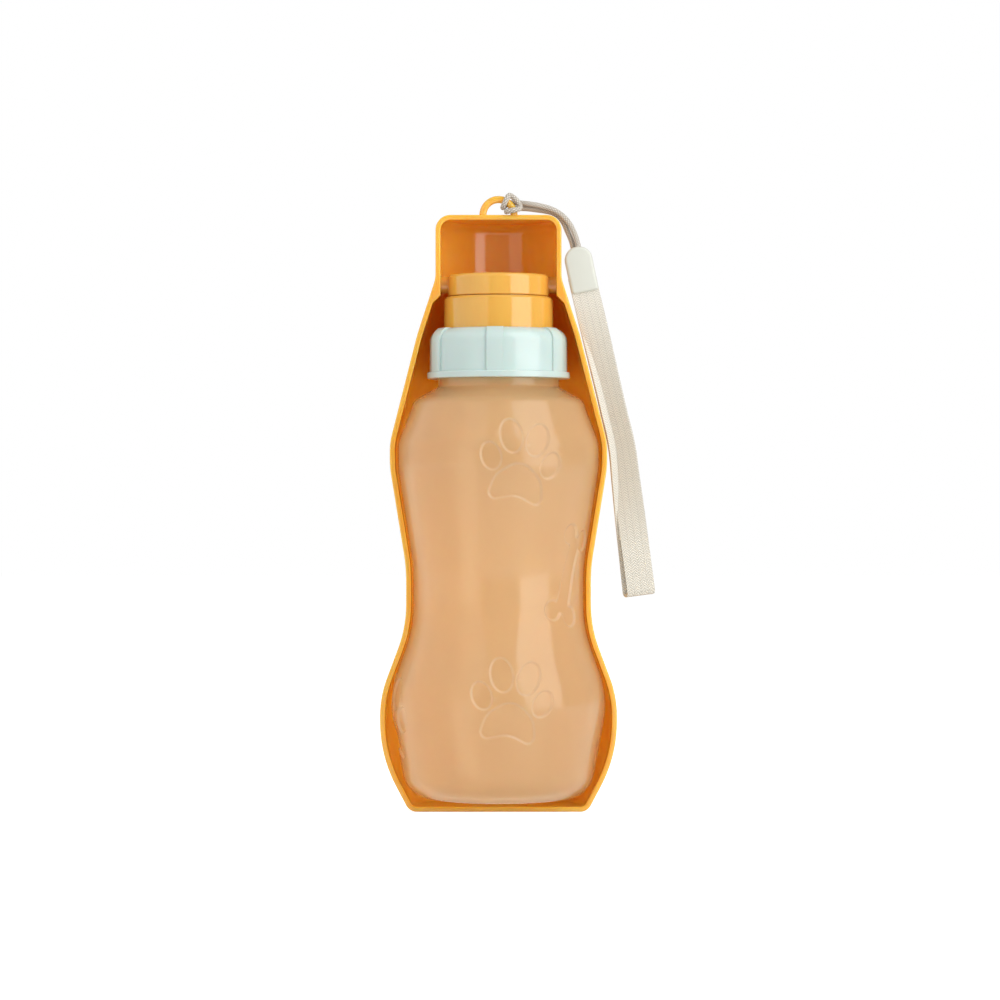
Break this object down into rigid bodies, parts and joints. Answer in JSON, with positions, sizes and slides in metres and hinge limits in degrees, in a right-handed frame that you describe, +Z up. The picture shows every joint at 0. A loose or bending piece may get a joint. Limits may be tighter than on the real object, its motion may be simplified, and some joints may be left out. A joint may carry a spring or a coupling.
{
  "type": "dog travel water bottle",
  "caption": "Squeeze water bottle held in a fold-out drinking trough, with a screw collar, a twist spout cap and a wrist lanyard.",
  "frame": {"origin": "on the bottle's axis, on the underside of the closed trough, which stands on a surface", "axes": "+Z up along the bottle, -Y out of the open side of the trough, X along the trough's hinge"},
  "size_m": [0.0993, 0.0814, 0.2229],
  "materials": {
    "frosted_ldpe": "frosted translucent",
    "orange_pp": "glossy moulded",
    "cap_pp": "satin moulded",
    "mint_pp": "satin moulded",
    "silicone": "matte",
    "clip_abs": "fine satin",
    "cord_nylon": "braided",
    "webbing": "woven"
  },
  "bodies": {
    "bottle_body": {"bottle": "frosted_ldpe"},
    "cap_body": {"spout_base": "cap_pp", "neck_gasket": "silicone", "valve_seal": "silicone"},
    "collar_body": {"collar": "mint_pp"},
    "head_body": {"swivel_head": "cap_pp", "head_o_ring": "silicone"},
    "trough_body": {"trough": "orange_pp", "lanyard_cord": "cord_nylon", "cord_clip": "clip_abs", "wrist_strap": "webbing"}
  },
  "joints": [
    {"name": "cap_lift", "type": "slide", "parent": "bottle_body", "child": "cap_body", "axis": [0, 0, 1], "range_m": [0, 0.001]},
    {"name": "collar_turn", "type": "hinge", "parent": "cap_body", "child": "collar_body", "pos_m": [0, 0, 0.165], "axis": [0, 0, 1], "range_deg": [0, 120]},
    {"name": "head_turn", "type": "hinge", "parent": "cap_body", "child": "head_body", "pos_m": [0, 0, 0.183], "axis": [0, 0, 1], "range_deg": [0, 90]},
    {"name": "trough_fold", "type": "hinge", "parent": "head_body", "child": "trough_body", "pos_m": [0, 0, 0.1901], "axis": [1, 0, 0], "range_deg": [0, 105]}
  ],
  "couplings": [
    {"joint": "collar_turn", "follows": "cap_lift", "rad_per_m": 2094.4}
  ]
}
